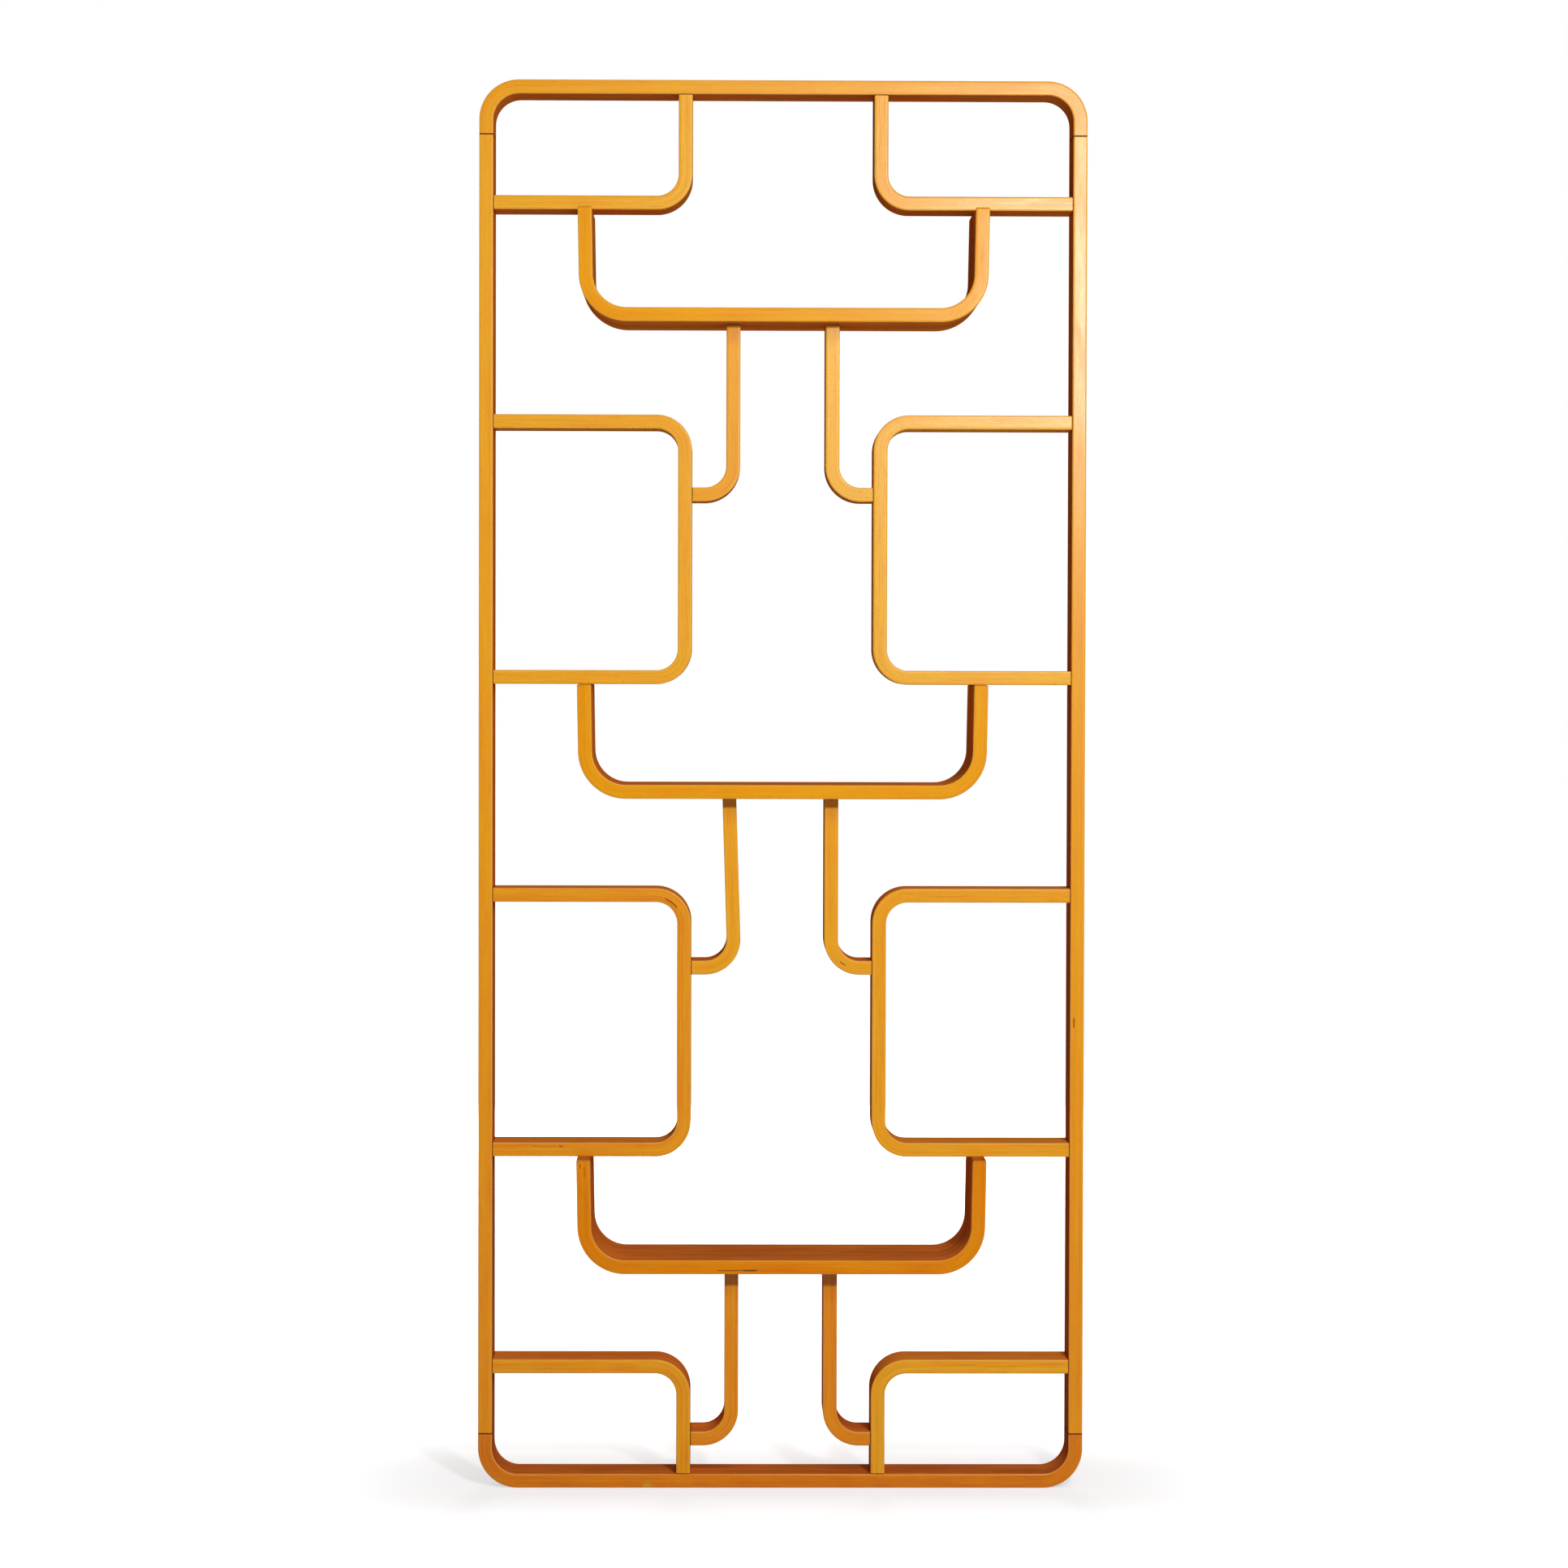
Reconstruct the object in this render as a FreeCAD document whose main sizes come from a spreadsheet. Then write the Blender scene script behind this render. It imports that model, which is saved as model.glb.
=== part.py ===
import FreeCAD, Part
import Sketcher
import math
import os

# A free-standing room divider of bent plywood strips, butted end to face on blind dowels.
# Millimetres; +X to the right, +Y to the rear, +Z up, origin on the floor under the middle.

# Driving sizes, each a cell of the sheet
SIZES = {
    # Outer frame
    "overallHeight": 2020,
    "overallWidth": 870,
    "frameDepth": 90,
    "stockThickness": 20,
    "edgeRound": 2,
    "frameBend": 37,
    "railLegStraight": 21,
    # Brackets in the corners and shelves between them
    "coreWidth": 260,
    "bracketHeight": 165,
    "bracketBend": 31,
    "shelfHeight": 386,
    "shelfBend": 31,
    # Trays hung between the left and right pieces
    "trayWidth": 586,
    "trayHeight": 163,
    "trayDepth": 195,
    "trayBend": 48,
    "trayFlare": 3,
    # Hooks under the trays, one of them leaning
    "hookBend": 31,
    "hookFootStraight": 18,
    "hookSeat": 114,
    "leanTop": 4.5,
    "leanFoot": 3.5,
    # Blind dowels in the butt joints
    "dowelDiameter": 8,
    "dowelReach": 20,
    "dowelGap": 0.1,
    "dowelEndGap": 1,
    "dowelSpreadShare": 0.25,
    "dowelWallShare": 0.6,
}

# How closely a corner of a solid is matched to a corner of its outline
TOLERANCE = 1e-4

# Places across the divider, measured from its middle
HALF_WIDTH = "(Sizes.overallWidth / 2)"
STILE_FACE = f"({HALF_WIDTH} - Sizes.stockThickness)"
STILE_MIDDLE = f"({HALF_WIDTH} - Sizes.stockThickness / 2)"
CORE_FACE = "(Sizes.coreWidth / 2)"
UPRIGHT_MIDDLE = f"({CORE_FACE} + Sizes.stockThickness / 2)"
UPRIGHT_BACK = f"({CORE_FACE} + Sizes.stockThickness)"
HOOK_FACE = f"({CORE_FACE} - Sizes.hookFootStraight - Sizes.hookBend - Sizes.stockThickness)"

# Levels of the frame, measured from the floor
CEILING = "(Sizes.overallHeight - Sizes.stockThickness)"
RAIL_LEG = "(Sizes.railLegStraight + Sizes.frameBend + Sizes.stockThickness)"
LOWER_JOINT = RAIL_LEG
UPPER_JOINT = f"(Sizes.overallHeight - {RAIL_LEG})"

# Levels of the brackets and shelves, which share the height left over as three equal bays
BAY = (
    "((Sizes.overallHeight"
    " - 2 * (Sizes.stockThickness + Sizes.bracketHeight + Sizes.shelfHeight)) / 3)"
)
UPPER_BRACKET_UNDERSIDE = f"({CEILING} - Sizes.bracketHeight)"
LOWER_BRACKET_TOP = "(Sizes.stockThickness + Sizes.bracketHeight)"
UPPER_SHELF_TOP = f"({UPPER_BRACKET_UNDERSIDE} - {BAY})"
UPPER_SHELF_UNDERSIDE = f"({UPPER_SHELF_TOP} - Sizes.shelfHeight)"
LOWER_SHELF_TOP = f"({UPPER_SHELF_UNDERSIDE} - {BAY})"
LOWER_SHELF_UNDERSIDE = f"({LOWER_SHELF_TOP} - Sizes.shelfHeight)"

# Each row of a tray with its two hooks: what the tray hangs from, and what the hooks' feet meet
ROWS = {
    "upper": (UPPER_BRACKET_UNDERSIDE, UPPER_SHELF_TOP),
    "middle": (UPPER_SHELF_UNDERSIDE, LOWER_SHELF_TOP),
    "lower": (LOWER_SHELF_UNDERSIDE, LOWER_BRACKET_TOP),
}
SHELVES = {
    "upper": (UPPER_SHELF_TOP, UPPER_SHELF_UNDERSIDE),
    "lower": (LOWER_SHELF_TOP, LOWER_SHELF_UNDERSIDE),
}
SIDES = {"left": -1, "right": 1}
LEANING_HOOK = ("middle", "left")

# A leaning leg is wider on the level than across its grain
HOOK_HEIGHT = f"({BAY} + Sizes.hookSeat + Sizes.stockThickness / 2 - Sizes.trayHeight)"
TRAY_SLOPE = "(Sizes.trayFlare / Sizes.trayHeight)"
HOOK_SLOPE = f"((Sizes.leanTop + Sizes.leanFoot) / {HOOK_HEIGHT})"
TRAY_LEG_WIDTH = f"(Sizes.stockThickness * sqrt(1 + {TRAY_SLOPE}^2))"
TRAY_LEG_MIDDLE = f"((Sizes.trayWidth - {TRAY_LEG_WIDTH}) / 2)"
HOOK_MIDDLE = f"({HOOK_FACE} + Sizes.stockThickness / 2)"
LEANING_HOOK_MIDDLE = f"({HOOK_MIDDLE} + Sizes.leanTop)"

# Dowels: how deep they sit in a wall, and how far each one stands from the middle of the depth
WALL_DEPTH = "(Sizes.stockThickness * Sizes.dowelWallShare)"
HOLE_RADIUS = "(Sizes.dowelDiameter / 2 + Sizes.dowelGap)"
DOWEL_SPREAD = "(Sizes.frameDepth * Sizes.dowelSpreadShare)"

doc = FreeCAD.newDocument("RoomDivider")
sheet = doc.addObject("Spreadsheet::Sheet", "Sizes")
for row_number, (alias, size) in enumerate(SIZES.items(), start=1):
    sheet.set(f"A{row_number}", alias)
    sheet.set(f"B{row_number}", str(size))
    sheet.setAlias(f"B{row_number}", alias)
doc.recompute()

nodes = {}


def value(expression):
    """The number that an expression in the sheet's cells comes to."""
    return float(sheet.evalExpression(expression))


def origin_plane(body, role):
    """One of a body's own origin planes."""
    return next(plane for plane in body.Origin.OriginFeatures if plane.Role == role)


def new_sketch(body, name, role, offset=None):
    """An empty sketch on an origin plane of the body, moved along the plane's normal."""
    sketch = body.newObject("Sketcher::SketchObject", name)
    sketch.AttachmentSupport = (origin_plane(body, role), [""])
    sketch.MapMode = "FlatFace"
    if offset is not None:
        sketch.setExpression("AttachmentOffset.Base.z", offset)
    return sketch


def bind(sketch, constraint, expression):
    """Add a dimension to a sketch and tie it to the sheet."""
    index = sketch.addConstraint(constraint)
    sketch.setExpression(f"Constraints[{index}]", expression)


def place_point(sketch, curve, point, across, up):
    """Fix a point of a sketch by its two distances from the sketch's origin."""
    for kind, expression in (("DistanceX", across), ("DistanceY", up)):
        bind(sketch, Sketcher.Constraint(kind, -1, 1, curve, point, value(expression)), expression)


def edge_names(shape, wanted):
    """Names of the edges of a shape that answer a test."""
    return [f"Edge{number}" for number, edge in enumerate(shape.Edges, start=1) if wanted(edge)]


def stands_on(edge, corners):
    """Whether every end of an edge is over one of the outline's corners."""
    return all(
        any(math.hypot(vertex.X - x, vertex.Z - z) < TOLERANCE for x, z in corners)
        for vertex in edge.Vertexes
    )


def runs_through(edge):
    """Whether an edge runs from the front of a strip to its rear."""
    ends = [vertex.Y for vertex in edge.Vertexes]
    return max(ends) - min(ends) > TOLERANCE


def fillet(body, name, base, edges, radius):
    """Round some edges of a body's last feature."""
    rounding = body.newObject("PartDesign::Fillet", name)
    rounding.Base = (base, edges)
    rounding.setExpression("Radius", radius)
    doc.recompute()
    return rounding


def strip(label, outer, inner, depth, bend=None, side=1, rounded_ends=False):
    """A bent strip: its outer and inner outlines, drawn for the right-hand side, padded to its depth."""
    body = doc.addObject("PartDesign::Body", label)
    body.Label = label
    if side < 0:
        body.Placement = FreeCAD.Placement(FreeCAD.Vector(), FreeCAD.Rotation(FreeCAD.Vector(0, 0, 1), 180))
    outline = outer + inner[::-1]
    corners = [(value(x), value(z)) for x, z in outline]
    points = [FreeCAD.Vector(x, z, 0) for x, z in corners]
    sketch = new_sketch(body, f"{label}_outline", "XZ_Plane")
    for start, finish in zip(points, points[1:] + points[:1]):
        sketch.addGeometry(Part.LineSegment(start, finish))
    for line in range(len(points)):
        sketch.addConstraint(Sketcher.Constraint("Coincident", line, 2, (line + 1) % len(points), 1))
    for line, (x, z) in enumerate(outline):
        place_point(sketch, line, 1, x, z)
    pad = body.newObject("PartDesign::Pad", f"{label}_strip")
    pad.Profile = sketch
    pad.Midplane = True
    pad.setExpression("Length", depth)
    doc.recompute()
    feature = pad
    count = len(outer)
    if bend is not None:
        bends = {
            "outer": (corners[1:count - 1], f"{bend} + Sizes.stockThickness"),
            "inner": (corners[count + 1:-1], bend),
        }
        for name, (turns, radius) in bends.items():
            edges = edge_names(feature.Shape, lambda edge: runs_through(edge) and stands_on(edge, turns))
            feature = fillet(body, f"{label}_{name}_bends", feature, edges, radius)
    ends = ((corners[0], corners[-1]), (corners[count - 1], corners[count]))

    def is_rim(edge):
        at_end = any(stands_on(edge, end) for end in ends)
        long_edge = not runs_through(edge) and not at_end
        return long_edge or (rounded_ends and at_end)

    fillet(body, f"{label}_rim", feature, edge_names(feature.Shape, is_rim), "Sizes.edgeRound")
    nodes[label] = body
    return body


def along_z(*places):
    """Centres of pairs of upright holes, from their places across the divider."""
    return [(x, y) for x in places for y in (DOWEL_SPREAD, f"-{DOWEL_SPREAD}")]


def along_x(*levels):
    """Centres of pairs of level holes, from their levels."""
    return [(y, z) for z in levels for y in (DOWEL_SPREAD, f"-{DOWEL_SPREAD}")]


def drill(body, name, role, face, centres, depth):
    """Blind dowel holes, opened in a face that lies on an origin plane moved to it."""
    before = body.Shape.Volume
    sketch = new_sketch(body, f"{body.Label}_{name}_holes", role, face)
    for across, up in centres:
        centre = FreeCAD.Vector(value(across), value(up), 0)
        radius = value(HOLE_RADIUS)
        circle = sketch.addGeometry(Part.Circle(centre, FreeCAD.Vector(0, 0, 1), radius))
        bind(sketch, Sketcher.Constraint("Radius", circle, radius), HOLE_RADIUS)
        place_point(sketch, circle, 3, across, up)
    pocket = body.newObject("PartDesign::Pocket", f"{body.Label}_{name}")
    pocket.Profile = sketch
    pocket.Midplane = True
    pocket.setExpression("Length", f"2 * {depth}")
    doc.recompute()
    if body.Shape.Volume >= before:
        raise RuntimeError(f"{body.Label}: {name} cut nothing")


def dowel_group(label, joints, wall=WALL_DEPTH):
    """Pairs of dowels, each running from a piece's end into the wall that the end meets."""
    reach = "(Sizes.dowelReach - Sizes.dowelEndGap)"
    dowels = []
    for way, x, z in joints:
        for y in (DOWEL_SPREAD, f"-{DOWEL_SPREAD}"):
            dowel = doc.addObject("Part::Cylinder", f"{label}_dowel")
            dowel.setExpression("Radius", "Sizes.dowelDiameter / 2")
            dowel.setExpression("Height", f"{reach} + {wall} - Sizes.dowelEndGap")
            dowel.Placement.Rotation = FreeCAD.Rotation(FreeCAD.Vector(0, 0, 1), FreeCAD.Vector(*way))
            for axis, place, step in zip("xyz", (x, y, z), way):
                dowel.setExpression(f"Placement.Base.{axis}", f"{place} - ({step}) * {reach}")
            dowels.append(dowel)
    group = doc.addObject("Part::Compound", label)
    group.Label = label
    group.Links = dowels
    nodes[label] = group


def mirrored(half):
    """A whole outline from its right half, which starts at the middle."""
    return [(f"-{x}", z) for x, z in half[::-1]] + half


def rail(label, joint, outside, inside):
    """A rail with its ends turned towards the stiles."""
    body = strip(
        label,
        mirrored([(HALF_WIDTH, outside), (HALF_WIDTH, joint)]),
        mirrored([(STILE_FACE, inside), (STILE_FACE, joint)]),
        "Sizes.frameDepth",
        "Sizes.frameBend",
    )
    drill(body, "legs", "XY_Plane", joint, along_z(STILE_MIDDLE, f"-{STILE_MIDDLE}"), "Sizes.dowelReach")
    drill(body, "face", "XY_Plane", inside, along_z(UPRIGHT_MIDDLE, f"-{UPRIGHT_MIDDLE}"), WALL_DEPTH)


def leg_level(face, step):
    """The middle of a level leg, from one face and the way to its other face."""
    return f"({face} + ({step}) * Sizes.stockThickness / 2)"


# Levels of all the legs that end on a stile
STILE_LEVELS = [leg_level(UPPER_BRACKET_UNDERSIDE, 1), leg_level(LOWER_BRACKET_TOP, -1)]
for shelf_top, shelf_underside in SHELVES.values():
    STILE_LEVELS += [leg_level(shelf_top, -1), leg_level(shelf_underside, 1)]


def stile(label, side):
    """A straight upright between the rails' turned ends."""
    body = strip(
        label,
        [(HALF_WIDTH, LOWER_JOINT), (HALF_WIDTH, UPPER_JOINT)],
        [(STILE_FACE, LOWER_JOINT), (STILE_FACE, UPPER_JOINT)],
        "Sizes.frameDepth",
        side=side,
    )
    drill(body, "foot", "XY_Plane", LOWER_JOINT, along_z(STILE_MIDDLE), "Sizes.dowelReach")
    drill(body, "head", "XY_Plane", UPPER_JOINT, along_z(STILE_MIDDLE), "Sizes.dowelReach")
    drill(body, "face", "YZ_Plane", STILE_FACE, along_x(*STILE_LEVELS), WALL_DEPTH)


def foot_level(meets):
    """The middle of a hook's foot, below the top of the piece that it meets."""
    return f"({meets} - Sizes.hookSeat)"


def bracket(label, side, outside, inside, rail_face):
    """An L strip from a stile to a rail."""
    body = strip(
        label,
        [(STILE_FACE, outside), (CORE_FACE, outside), (CORE_FACE, rail_face)],
        [(STILE_FACE, inside), (UPRIGHT_BACK, inside), (UPRIGHT_BACK, rail_face)],
        "Sizes.frameDepth",
        "Sizes.bracketBend",
        side,
    )
    level = f"(({outside} + {inside}) / 2)"
    drill(body, "stile_end", "YZ_Plane", STILE_FACE, along_x(level), "Sizes.dowelReach")
    drill(body, "rail_end", "XY_Plane", rail_face, along_z(UPRIGHT_MIDDLE), "Sizes.dowelReach")
    return body


def upper_bracket(label, side):
    """A bracket under the top rail, with a tray's end below it."""
    inside = f"({UPPER_BRACKET_UNDERSIDE} + Sizes.stockThickness)"
    body = bracket(label, side, UPPER_BRACKET_UNDERSIDE, inside, CEILING)
    drill(body, "tray", "XY_Plane", UPPER_BRACKET_UNDERSIDE, along_z(TRAY_LEG_MIDDLE), WALL_DEPTH)


def lower_bracket(label, side):
    """A bracket on the bottom rail, with a hook's foot against its upright."""
    inside = f"({LOWER_BRACKET_TOP} - Sizes.stockThickness)"
    body = bracket(label, side, LOWER_BRACKET_TOP, inside, "Sizes.stockThickness")
    drill(body, "hook", "YZ_Plane", CORE_FACE, along_x(foot_level(LOWER_BRACKET_TOP)), WALL_DEPTH)


def shelf(label, side, top, underside):
    """A C strip, open towards its stile."""
    inner_top = f"({top} - Sizes.stockThickness)"
    inner_bottom = f"({underside} + Sizes.stockThickness)"
    body = strip(
        label,
        [(STILE_FACE, top), (CORE_FACE, top), (CORE_FACE, underside), (STILE_FACE, underside)],
        [
            (STILE_FACE, inner_top),
            (UPRIGHT_BACK, inner_top),
            (UPRIGHT_BACK, inner_bottom),
            (STILE_FACE, inner_bottom),
        ],
        "Sizes.frameDepth",
        "Sizes.shelfBend",
        side,
    )
    levels = along_x(leg_level(top, -1), leg_level(underside, 1))
    drill(body, "stile_ends", "YZ_Plane", STILE_FACE, levels, "Sizes.dowelReach")
    drill(body, "hook", "YZ_Plane", CORE_FACE, along_x(foot_level(top)), WALL_DEPTH)
    drill(body, "tray", "XY_Plane", underside, along_z(TRAY_LEG_MIDDLE), WALL_DEPTH)


def tray(label, hung_from, hooks):
    """A wide U strip, deeper than the frame, whose legs flare out to their ends."""
    underside = f"({hung_from} - Sizes.trayHeight)"
    floor = f"({underside} + Sizes.stockThickness)"
    outer_top = "(Sizes.trayWidth / 2)"
    outer_foot = f"({outer_top} - Sizes.trayFlare)"
    inner_top = f"({outer_top} - {TRAY_LEG_WIDTH})"
    inner_foot = f"({outer_foot} + {TRAY_SLOPE} * Sizes.stockThickness - {TRAY_LEG_WIDTH})"
    body = strip(
        label,
        mirrored([(outer_foot, underside), (outer_top, hung_from)]),
        mirrored([(inner_foot, floor), (inner_top, hung_from)]),
        "Sizes.trayDepth",
        "Sizes.trayBend",
        rounded_ends=True,
    )
    ends = along_z(TRAY_LEG_MIDDLE, f"-{TRAY_LEG_MIDDLE}")
    drill(body, "ends", "XY_Plane", hung_from, ends, "Sizes.dowelReach")
    drill(body, "hooks", "XY_Plane", underside, along_z(*hooks), WALL_DEPTH)


def hook(label, side, hung_from, meets, leaning):
    """A J strip under a tray, with its foot turned out to the upright beside it."""
    top = f"({hung_from} - Sizes.trayHeight)"
    level = foot_level(meets)
    outside = f"({level} - Sizes.stockThickness / 2)"
    inside = f"({level} + Sizes.stockThickness / 2)"
    upright_leg = ("0", "0", "0")
    leaning_leg = ("Sizes.leanTop", "Sizes.leanFoot", HOOK_SLOPE)
    lean_top, lean_foot, slope = leaning_leg if leaning else upright_leg
    leg_width = f"(Sizes.stockThickness * sqrt(1 + {slope}^2))"
    outer_top = f"({HOOK_FACE} + {lean_top})"
    outer_foot = f"({HOOK_FACE} - {lean_foot})"
    body = strip(
        label,
        [(outer_top, top), (outer_foot, outside), (CORE_FACE, outside)],
        [
            (f"({outer_top} + {leg_width})", top),
            (f"({outer_foot} + {slope} * Sizes.stockThickness + {leg_width})", inside),
            (CORE_FACE, inside),
        ],
        "Sizes.frameDepth",
        "Sizes.hookBend",
        side,
    )
    head = LEANING_HOOK_MIDDLE if leaning else HOOK_MIDDLE
    drill(body, "head", "XY_Plane", top, along_z(head), "Sizes.dowelReach")
    drill(body, "foot", "YZ_Plane", CORE_FACE, along_x(level), "Sizes.dowelReach")


# Frame
rail("top_rail", UPPER_JOINT, "Sizes.overallHeight", CEILING)
rail("bottom_rail", LOWER_JOINT, "0", "Sizes.stockThickness")
for side_name, side_sign in SIDES.items():
    stile(f"{side_name}_stile", side_sign)

# Brackets and shelves
for side_name, side_sign in SIDES.items():
    upper_bracket(f"upper_{side_name}_bracket", side_sign)
    lower_bracket(f"lower_{side_name}_bracket", side_sign)
    for shelf_name, (shelf_top, shelf_underside) in SHELVES.items():
        shelf(f"{shelf_name}_{side_name}_shelf", side_sign, shelf_top, shelf_underside)

# Trays and hooks
hook_places = {}
for row_name, (hung_from, meets) in ROWS.items():
    for side_name, side_sign in SIDES.items():
        leaning = (row_name, side_name) == LEANING_HOOK
        hook(f"{row_name}_{side_name}_hook", side_sign, hung_from, meets, leaning)
        middle = LEANING_HOOK_MIDDLE if leaning else HOOK_MIDDLE
        hook_places[row_name, side_name] = f"({side_sign}) * {middle}"
    tray(f"{row_name}_tray", hung_from, [hook_places[row_name, side_name] for side_name in SIDES])

# Dowels, each with the way from the end into the wall
UP, DOWN = (0, 0, 1), (0, 0, -1)
frame_joints, stile_joints, rail_joints, tray_joints, hook_tops, hook_feet = [], [], [], [], [], []
for side_name, side_sign in SIDES.items():
    outward = (side_sign, 0, 0)
    post = f"({side_sign}) * {STILE_MIDDLE}"
    frame_joints += [(UP, post, UPPER_JOINT), (DOWN, post, LOWER_JOINT)]
    stile_joints += [(outward, f"({side_sign}) * {STILE_FACE}", z) for z in STILE_LEVELS]
    upright = f"({side_sign}) * {UPRIGHT_MIDDLE}"
    rail_joints += [(UP, upright, CEILING), (DOWN, upright, "Sizes.stockThickness")]
    for row_name, (hung_from, meets) in ROWS.items():
        tray_joints.append((UP, f"({side_sign}) * {TRAY_LEG_MIDDLE}", hung_from))
        hook_tops.append((UP, hook_places[row_name, side_name], f"({hung_from} - Sizes.trayHeight)"))
        hook_feet.append((outward, f"({side_sign}) * {CORE_FACE}", foot_level(meets)))
dowel_group("frame_joint_dowels", frame_joints, "Sizes.dowelReach")
dowel_group("stile_joint_dowels", stile_joints)
dowel_group("rail_joint_dowels", rail_joints)
dowel_group("tray_end_dowels", tray_joints)
dowel_group("hook_top_dowels", hook_tops)
dowel_group("hook_side_dowels", hook_feet)

# Checks, then one file for each piece
doc.recompute()
failed = [item.Name for item in doc.Objects if {"Invalid", "Error"} & set(item.State)]
failed += [label for label, node in nodes.items() if node.Shape.isNull() or not node.Shape.isValid()]
if failed:
    raise RuntimeError("not built: " + ", ".join(failed))
os.makedirs("parts", exist_ok=True)
for label, node in nodes.items():
    node.Shape.exportStep(f"parts/{label}.step")
print(len(nodes), "pieces,", sum(len(node.Shape.Solids) for node in nodes.values()), "solids")
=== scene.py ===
import cmath
import math

import bpy
import numpy as np
from mathutils import Matrix, Vector


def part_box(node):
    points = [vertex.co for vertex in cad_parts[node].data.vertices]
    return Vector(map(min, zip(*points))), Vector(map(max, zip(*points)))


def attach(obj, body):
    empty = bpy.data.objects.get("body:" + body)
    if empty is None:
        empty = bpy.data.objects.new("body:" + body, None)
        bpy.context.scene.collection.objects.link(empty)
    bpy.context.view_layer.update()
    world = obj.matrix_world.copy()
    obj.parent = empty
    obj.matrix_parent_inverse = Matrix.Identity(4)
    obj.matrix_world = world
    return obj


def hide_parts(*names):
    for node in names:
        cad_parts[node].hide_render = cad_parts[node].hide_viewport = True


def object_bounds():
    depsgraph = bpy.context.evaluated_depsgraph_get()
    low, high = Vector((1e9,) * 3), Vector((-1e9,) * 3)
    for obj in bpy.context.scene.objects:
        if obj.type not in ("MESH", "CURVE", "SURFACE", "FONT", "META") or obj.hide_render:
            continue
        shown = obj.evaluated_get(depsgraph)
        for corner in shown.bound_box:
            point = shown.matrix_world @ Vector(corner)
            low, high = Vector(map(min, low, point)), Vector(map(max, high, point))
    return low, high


# A free-standing room divider of bent plywood strips, each strip laid up from thin plies that run
# round its bends and finished in an amber varnish. Metres, in the part's own frame.

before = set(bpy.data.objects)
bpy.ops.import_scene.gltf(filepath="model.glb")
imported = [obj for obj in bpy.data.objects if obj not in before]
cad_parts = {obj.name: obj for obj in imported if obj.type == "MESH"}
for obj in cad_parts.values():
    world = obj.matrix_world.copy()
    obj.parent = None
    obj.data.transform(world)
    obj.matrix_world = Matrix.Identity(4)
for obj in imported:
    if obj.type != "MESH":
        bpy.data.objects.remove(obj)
cad_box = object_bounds()

# Strips: stock, inner radii of the bends and the slopes of the legs that are not upright
STOCK = 0.020
EDGE_ROUND = 0.002
BEND = {"rail": 0.037, "stile": 0.0, "bracket": 0.031, "shelf": 0.031, "tray": 0.048, "hook": 0.031}
TRAY_FLARE = 0.003
LEANING_HOOK = "middle_left_hook"
UPRIGHT_TWIN = "middle_right_hook"
LEAN_TOP = 0.0045
LEAN_FOOT = 0.0035

# Ends: the rim that is eased off where a strip butts, the ring that keeps its dark line narrow, and
# how dark that line is on the trays, whose ends are rounded like their edges
JOINT_EASE = 0.0007
JOINT_LINE = 0.0008
END_MARK = {"tray": 0.25}

# Plies, and how far apart the strips lie in the wood's own coordinates, so that no two are alike
PLIES = 9
PLY = STOCK / PLIES
STRIP_STEP = 10.0

# Mesh steps along a strip, in its bends, over its rounded edges and eased ends, across its edges and
# faces and along its marks; the step of the search for a mark's place; and what counts as touching
RUN_STEP = 0.030
BEND_STEP = math.radians(4.0)
ROUND_STEPS = 5
EASE_STEPS = 3
END_RINGS = EASE_STEPS + 2
EDGE_STEPS = 12
FACE_STEP = 0.015
MARK_STEPS = 8
SPOT_STEP = 0.0005
NEAR = 0.00002

# Tone of each strip, from 0, golden, to 1, brown, partly the strip's own and partly painted light:
# browner on the low strips, where less light falls, and more golden on the strips by the glare at the
# upper right; and painted shade that deepens the stiles towards their feet
TONE = {
    "top_rail": 0.31, "bottom_rail": 0.67, "left_stile": 0.22, "right_stile": 0.24,
    "upper_left_bracket": 0.17, "upper_right_bracket": 0.22,
    "lower_left_bracket": 0.40, "lower_right_bracket": 0.25,
    "upper_left_shelf": 0.24, "upper_right_shelf": 0.14,
    "lower_left_shelf": 0.45, "lower_right_shelf": 0.29,
    "upper_tray": 0.29, "middle_tray": 0.36, "lower_tray": 0.60,
    "upper_left_hook": 0.31, "upper_right_hook": 0.10,
    "middle_left_hook": 0.29, "middle_right_hook": 0.30,
    "lower_left_hook": 0.57, "lower_right_hook": 0.59,
}
FOOT_PAINTED_SHADE = {"left_stile": 0.28, "right_stile": 0.22}

# Broad faces: the share of its strip's tone that a face keeps, and the deeper tone it takes, partly the
# veneer's own and partly painted shade matched to faces that stand in shade
FACE_SHARE = 0.5
FACE_DEPTH_AND_SHADE = {"rail": 0.52, "stile": 0.62, "bracket": 0.47, "shelf": 0.30, "tray": 0.48, "hook": 0.50}

# How plainly each family shows its plies
LINES = {"rail": 0.45, "stile": 0.25, "bracket": 0.95, "shelf": 0.80, "tray": 0.40, "hook": 0.65}

# Open glue lines in the front edges: strip, middle as x and z, length and width
CRACK_DEPTH = 0.0012
CRACKS = (
    ("lower_left_shelf", (-0.1580, 0.8430), 0.026, 0.0022),
    ("lower_left_shelf", (-0.3162, 0.4925), 0.007, 0.0018),
    ("lower_left_shelf", (-0.3400, 0.4925), 0.040, 0.0008),
    ("lower_tray", (-0.0448, 0.3200), 0.024, 0.0028),
    ("lower_tray", (-0.0740, 0.3200), 0.040, 0.0012),
    ("lower_tray", (-0.2872, 0.4690), 0.008, 0.0014),
    ("lower_tray", (-0.2812, 0.4600), 0.018, 0.0007),
    ("middle_right_hook", (0.0874, 0.7556), 0.010, 0.0022),
    ("right_stile", (0.4202, 0.6710), 0.016, 0.0024),
)

# A scuffed place on a front arris: strip, middle as x and z, and reach
SCUFFS = (("bottom_rail", (-0.1920, 0.0010), 0.009),)


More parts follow.
